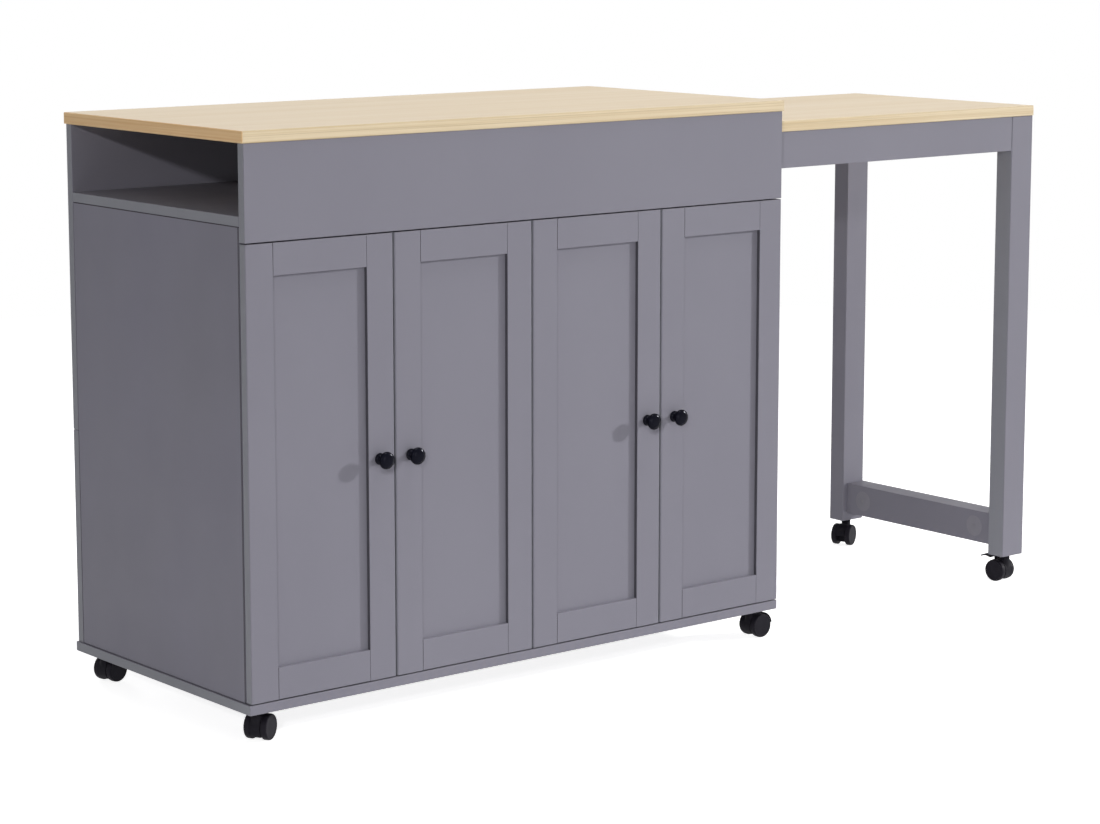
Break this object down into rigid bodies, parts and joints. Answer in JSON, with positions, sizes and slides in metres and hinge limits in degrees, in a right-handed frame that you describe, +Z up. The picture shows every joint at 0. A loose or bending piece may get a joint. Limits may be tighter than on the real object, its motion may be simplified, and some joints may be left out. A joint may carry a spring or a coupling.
{
  "type": "kitchen island",
  "caption": "Rolling kitchen island with a wood-look worktop, grey panelled doors over shelved cupboards, an open bay and a wheeled table that draws out of its end.",
  "frame": {"origin": "on the floor under the middle of the whole island's box, with the table drawn out and the doors shut", "axes": "+X along the length towards the table end, +Y from the doors to the back, +Z up"},
  "size_m": [1.71, 0.525, 0.91],
  "materials": {
    "wood_laminate": "pale oak-look laminate with matching edge band, satin",
    "grey_paint": "slate grey painted fibreboard, satin",
    "black_enamel": "gloss black enamel on cast metal",
    "black_plastic": "black moulded nylon, low sheen",
    "plated_steel": "nickel-plated pressed steel",
    "pale_nylon": "natural nylon",
    "grey_plastic": "grey moulded plastic matched to the paint"
  },
  "bodies": {
    "cabinet": {"worktop": "wood_laminate", "fascia_panel": "grey_paint", "bay_floor": "grey_paint", "left_side_panel": "grey_paint", "right_side_panel": "grey_paint", "centre_partition": "grey_paint", "base_board": "grey_paint", "lower_back_panel": "grey_paint", "upper_back_panel": "grey_paint", "shelves": "grey_paint", "shelf_pins": "plated_steel", "hinge_arms": "plated_steel", "hinge_plates": "plated_steel", "cabinet_caster_stems": "plated_steel"},
    "door_1": {"door_1_stiles": "grey_paint", "door_1_rails": "grey_paint", "door_1_panel": "grey_paint", "door_1_knob": "black_enamel", "door_1_hinge_cups": "plated_steel"},
    "door_2": {"door_2_stiles": "grey_paint", "door_2_rails": "grey_paint", "door_2_panel": "grey_paint", "door_2_knob": "black_enamel", "door_2_hinge_cups": "plated_steel"},
    "door_3": {"door_3_stiles": "grey_paint", "door_3_rails": "grey_paint", "door_3_panel": "grey_paint", "door_3_knob": "black_enamel", "door_3_hinge_cups": "plated_steel"},
    "door_4": {"door_4_stiles": "grey_paint", "door_4_rails": "grey_paint", "door_4_panel": "grey_paint", "door_4_knob": "black_enamel", "door_4_hinge_cups": "plated_steel"},
    "table": {"table_top": "wood_laminate", "table_front_leg": "grey_paint", "table_back_leg": "grey_paint", "table_front_apron": "grey_paint", "table_back_apron": "grey_paint", "table_inner_rail": "grey_paint", "table_outer_rail": "grey_paint", "table_stretcher": "grey_paint", "stretcher_caps": "grey_plastic", "table_glides": "pale_nylon", "table_caster_stems": "plated_steel"},
    "front_left_caster": {"front_left_caster_hood": "black_plastic"},
    "front_left_wheels": {"front_left_caster_wheels": "black_plastic"},
    "front_left_brake": {"front_left_brake_lever": "black_plastic"},
    "front_right_caster": {"front_right_caster_hood": "black_plastic"},
    "front_right_wheels": {"front_right_caster_wheels": "black_plastic"},
    "front_right_brake": {"front_right_brake_lever": "black_plastic"},
    "back_left_caster": {"back_left_caster_hood": "black_plastic"},
    "back_left_wheels": {"back_left_caster_wheels": "black_plastic"},
    "back_right_caster": {"back_right_caster_hood": "black_plastic"},
    "back_right_wheels": {"back_right_caster_wheels": "black_plastic"},
    "table_front_caster": {"table_front_caster_hood": "black_plastic"},
    "table_front_wheels": {"table_front_caster_wheels": "black_plastic"},
    "table_front_brake": {"table_front_brake_lever": "black_plastic"},
    "table_back_caster": {"table_back_caster_hood": "black_plastic"},
    "table_back_wheels": {"table_back_caster_wheels": "black_plastic"}
  },
  "joints": [
    {"name": "door_1_hinge", "type": "hinge", "parent": "cabinet", "child": "door_1", "pos_m": [-0.845, -0.2337, 0.4065], "axis": [0, 0, -1], "range_deg": [0, 95]},
    {"name": "door_2_hinge", "type": "hinge", "parent": "cabinet", "child": "door_2", "pos_m": [-0.3305, -0.2337, 0.4065], "axis": [0, 0, 1], "range_deg": [0, 84]},
    {"name": "door_3_hinge", "type": "hinge", "parent": "cabinet", "child": "door_3", "pos_m": [-0.3135, -0.2337, 0.4065], "axis": [0, 0, -1], "range_deg": [0, 84]},
    {"name": "door_4_hinge", "type": "hinge", "parent": "cabinet", "child": "door_4", "pos_m": [0.201, -0.2337, 0.4065], "axis": [0, 0, 1], "range_deg": [0, 95]},
    {"name": "table_slide", "type": "slide", "parent": "cabinet", "child": "table", "axis": [1, 0, 0], "range_m": [-0.557, 0]},
    {"name": "front_left_swivel", "type": "hinge", "parent": "cabinet", "child": "front_left_caster", "pos_m": [-0.822, -0.2065, 0.05], "axis": [0, 0, 1], "continuous": true},
    {"name": "front_left_wheel_spin", "type": "hinge", "parent": "front_left_caster", "child": "front_left_wheels", "pos_m": [-0.81247, -0.201, 0.02], "axis": [-0.5, 0.866, 0], "continuous": true},
    {"name": "front_left_brake_press", "type": "hinge", "parent": "front_left_caster", "child": "front_left_brake", "pos_m": [-0.80705, -0.19787, 0.04182], "axis": [0.5, -0.866, 0], "range_deg": [-54, 0]},
    {"name": "front_right_swivel", "type": "hinge", "parent": "cabinet", "child": "front_right_caster", "pos_m": [0.178, -0.2065, 0.05], "axis": [0, 0, 1], "continuous": true},
    {"name": "front_right_wheel_spin", "type": "hinge", "parent": "front_right_caster", "child": "front_right_wheels", "pos_m": [0.189, -0.2065, 0.02], "axis": [0, 1, 0], "continuous": true},
    {"name": "front_right_brake_press", "type": "hinge", "parent": "front_right_caster", "child": "front_right_brake", "pos_m": [0.19526, -0.2065, 0.04182], "axis": [0, -1, 0], "range_deg": [0, 54]},
    {"name": "back_left_swivel", "type": "hinge", "parent": "cabinet", "child": "back_left_caster", "pos_m": [-0.822, 0.2295, 0.05], "axis": [0, 0, 1], "continuous": true},
    {"name": "back_left_wheel_spin", "type": "hinge", "parent": "back_left_caster", "child": "back_left_wheels", "pos_m": [-0.81137, 0.23235, 0.02], "axis": [-0.2588, 0.9659, 0], "continuous": true},
    {"name": "back_right_swivel", "type": "hinge", "parent": "cabinet", "child": "back_right_caster", "pos_m": [0.178, 0.2295, 0.05], "axis": [0, 0, 1], "continuous": true},
    {"name": "back_right_wheel_spin", "type": "hinge", "parent": "back_right_caster", "child": "back_right_wheels", "pos_m": [0.16737, 0.23235, 0.02], "axis": [-0.2588, -0.9659, 0], "continuous": true},
    {"name": "table_front_swivel", "type": "hinge", "parent": "table", "child": "table_front_caster", "pos_m": [0.827, -0.1955, 0.05], "axis": [0, 0, 1], "continuous": true},
    {"name": "table_front_wheel_spin", "type": "hinge", "parent": "table_front_caster", "child": "table_front_wheels", "pos_m": [0.82566, -0.18458, 0.02], "axis": [-0.9925, -0.1219, 0], "continuous": true},
    {"name": "table_front_brake_press", "type": "hinge", "parent": "table_front_caster", "child": "table_front_brake", "pos_m": [0.8249, -0.17837, 0.04182], "axis": [0.9925, 0.1219, 0], "range_deg": [-54, 0]},
    {"name": "table_back_swivel", "type": "hinge", "parent": "table", "child": "table_back_caster", "pos_m": [0.827, 0.2165, 0.05], "axis": [0, 0, 1], "continuous": true},
    {"name": "table_back_wheel_spin", "type": "hinge", "parent": "table_back_caster", "child": "table_back_wheels", "pos_m": [0.81687, 0.2122, 0.02], "axis": [0.3907, -0.9205, 0], "continuous": true}
  ]
}
